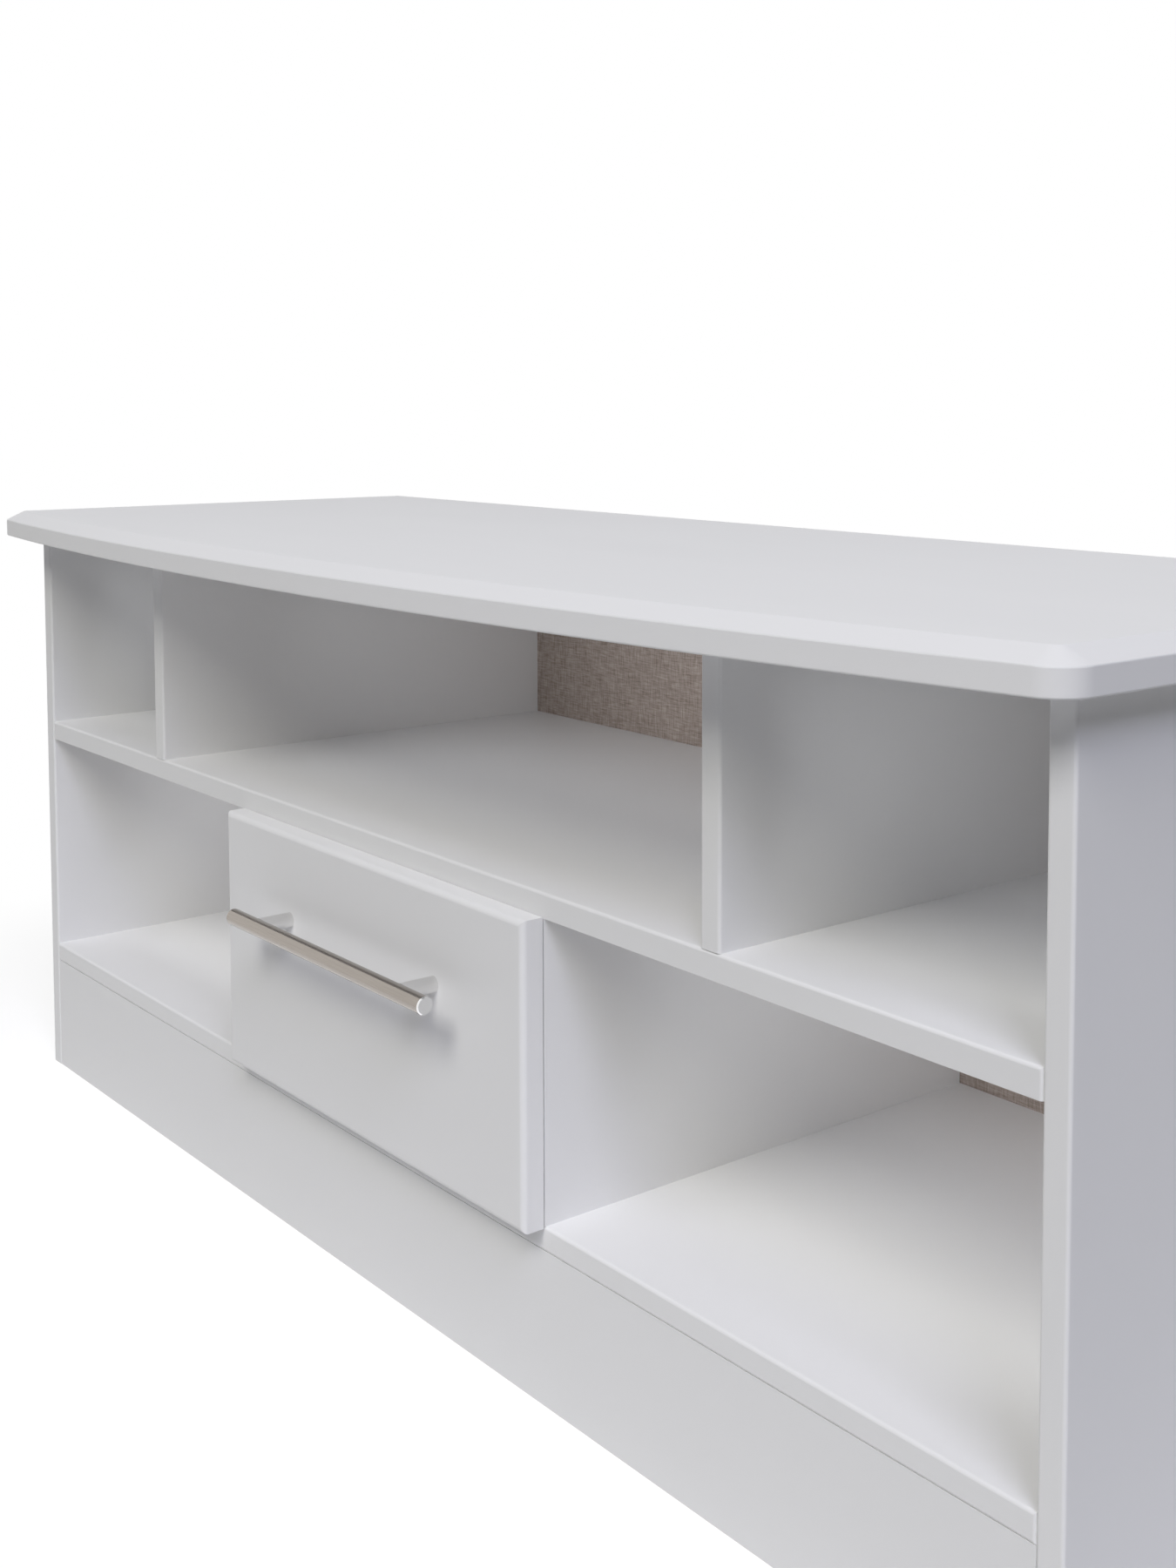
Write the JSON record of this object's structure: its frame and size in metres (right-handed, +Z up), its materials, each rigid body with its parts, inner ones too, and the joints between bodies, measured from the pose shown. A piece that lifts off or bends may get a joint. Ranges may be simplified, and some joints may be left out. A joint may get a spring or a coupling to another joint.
{
  "type": "media cabinet",
  "caption": "White bow-front media cabinet with open bays above and beside a central drawer on roller runners, bar handle, plinth base and hardboard back.",
  "frame": {"origin": "on the floor, under the middle of the whole outline", "axes": "+X across the cabinet to the right seen from the front, +Y from the front to the back, +Z up"},
  "size_m": [1.224, 0.4609, 0.522],
  "materials": {
    "white_board": "white satin foil on fibreboard",
    "white_front": "white satin foil wrapped over softened edges",
    "white_box_board": "white paper foil on thin board",
    "brown_hardboard": "brown hardboard with a linen weave print",
    "white_hardboard": "white faced hardboard",
    "beech": "bare beech",
    "brushed_nickel": "brushed nickel with polished ends",
    "runner_steel": "white powder-coated pressed steel",
    "zinc_steel": "bright zinc plate",
    "nylon": "natural white nylon"
  },
  "bodies": {
    "carcass": {"top_board": "white_board", "left_side_panel": "white_board", "right_side_panel": "white_board", "base_board": "white_board", "middle_shelf": "white_board", "left_upper_divider": "white_board", "right_upper_divider": "white_board", "left_drawer_wall": "white_board", "right_drawer_wall": "white_board", "front_plinth": "white_board", "rear_plinth_rail": "white_board", "back_panel": "brown_hardboard", "top_dowels": "beech", "shelf_dowels": "beech", "base_dowels": "beech", "upper_divider_dowels": "beech", "drawer_wall_dowels": "beech", "plinth_dowels": "beech", "plinth_glue_blocks": "beech", "left_cabinet_runner": "runner_steel", "right_cabinet_runner": "runner_steel", "cabinet_runner_screws": "zinc_steel", "back_panel_pins": "zinc_steel", "cabinet_roller_pins": "zinc_steel"},
    "drawer": {"drawer_front": "white_front", "drawer_inner_front": "white_box_board", "drawer_back": "white_box_board", "left_drawer_side": "white_box_board", "right_drawer_side": "white_box_board", "drawer_bottom": "white_hardboard", "handle_bar": "brushed_nickel", "left_handle_post": "brushed_nickel", "right_handle_post": "brushed_nickel", "handle_screws": "zinc_steel", "drawer_front_screws": "zinc_steel", "drawer_box_dowels": "beech", "left_drawer_runner": "runner_steel", "right_drawer_runner": "runner_steel", "drawer_runner_screws": "zinc_steel", "drawer_roller_pins": "zinc_steel"},
    "left_front_roller": {"left_front_roller": "nylon"},
    "right_front_roller": {"right_front_roller": "nylon"},
    "left_rear_roller": {"left_rear_roller": "nylon"},
    "right_rear_roller": {"right_rear_roller": "nylon"}
  },
  "joints": [
    {"name": "drawer_slide", "type": "slide", "parent": "carcass", "child": "drawer", "axis": [0, -1, 0], "range_m": [0, 0.26]},
    {"name": "left_front_roller_spin", "type": "hinge", "parent": "carcass", "child": "left_front_roller", "pos_m": [-0.17375, -0.1405, 0.138], "axis": [1, 0, 0], "range_deg": [-5, 1760]},
    {"name": "right_front_roller_spin", "type": "hinge", "parent": "carcass", "child": "right_front_roller", "pos_m": [0.17375, -0.1405, 0.138], "axis": [1, 0, 0], "range_deg": [-5, 1760]},
    {"name": "left_rear_roller_spin", "type": "hinge", "parent": "drawer", "child": "left_rear_roller", "pos_m": [-0.17175, 0.1775, 0.138], "axis": [1, 0, 0], "range_deg": [-5, 1760]},
    {"name": "right_rear_roller_spin", "type": "hinge", "parent": "drawer", "child": "right_rear_roller", "pos_m": [0.17175, 0.1775, 0.138], "axis": [1, 0, 0], "range_deg": [-5, 1760]}
  ],
  "couplings": [
    {"joint": "left_front_roller_spin", "follows": "drawer_slide", "rad_per_m": 117.65},
    {"joint": "right_front_roller_spin", "follows": "drawer_slide", "rad_per_m": 117.65},
    {"joint": "left_rear_roller_spin", "follows": "drawer_slide", "rad_per_m": 117.65},
    {"joint": "right_rear_roller_spin", "follows": "drawer_slide", "rad_per_m": 117.65}
  ]
}
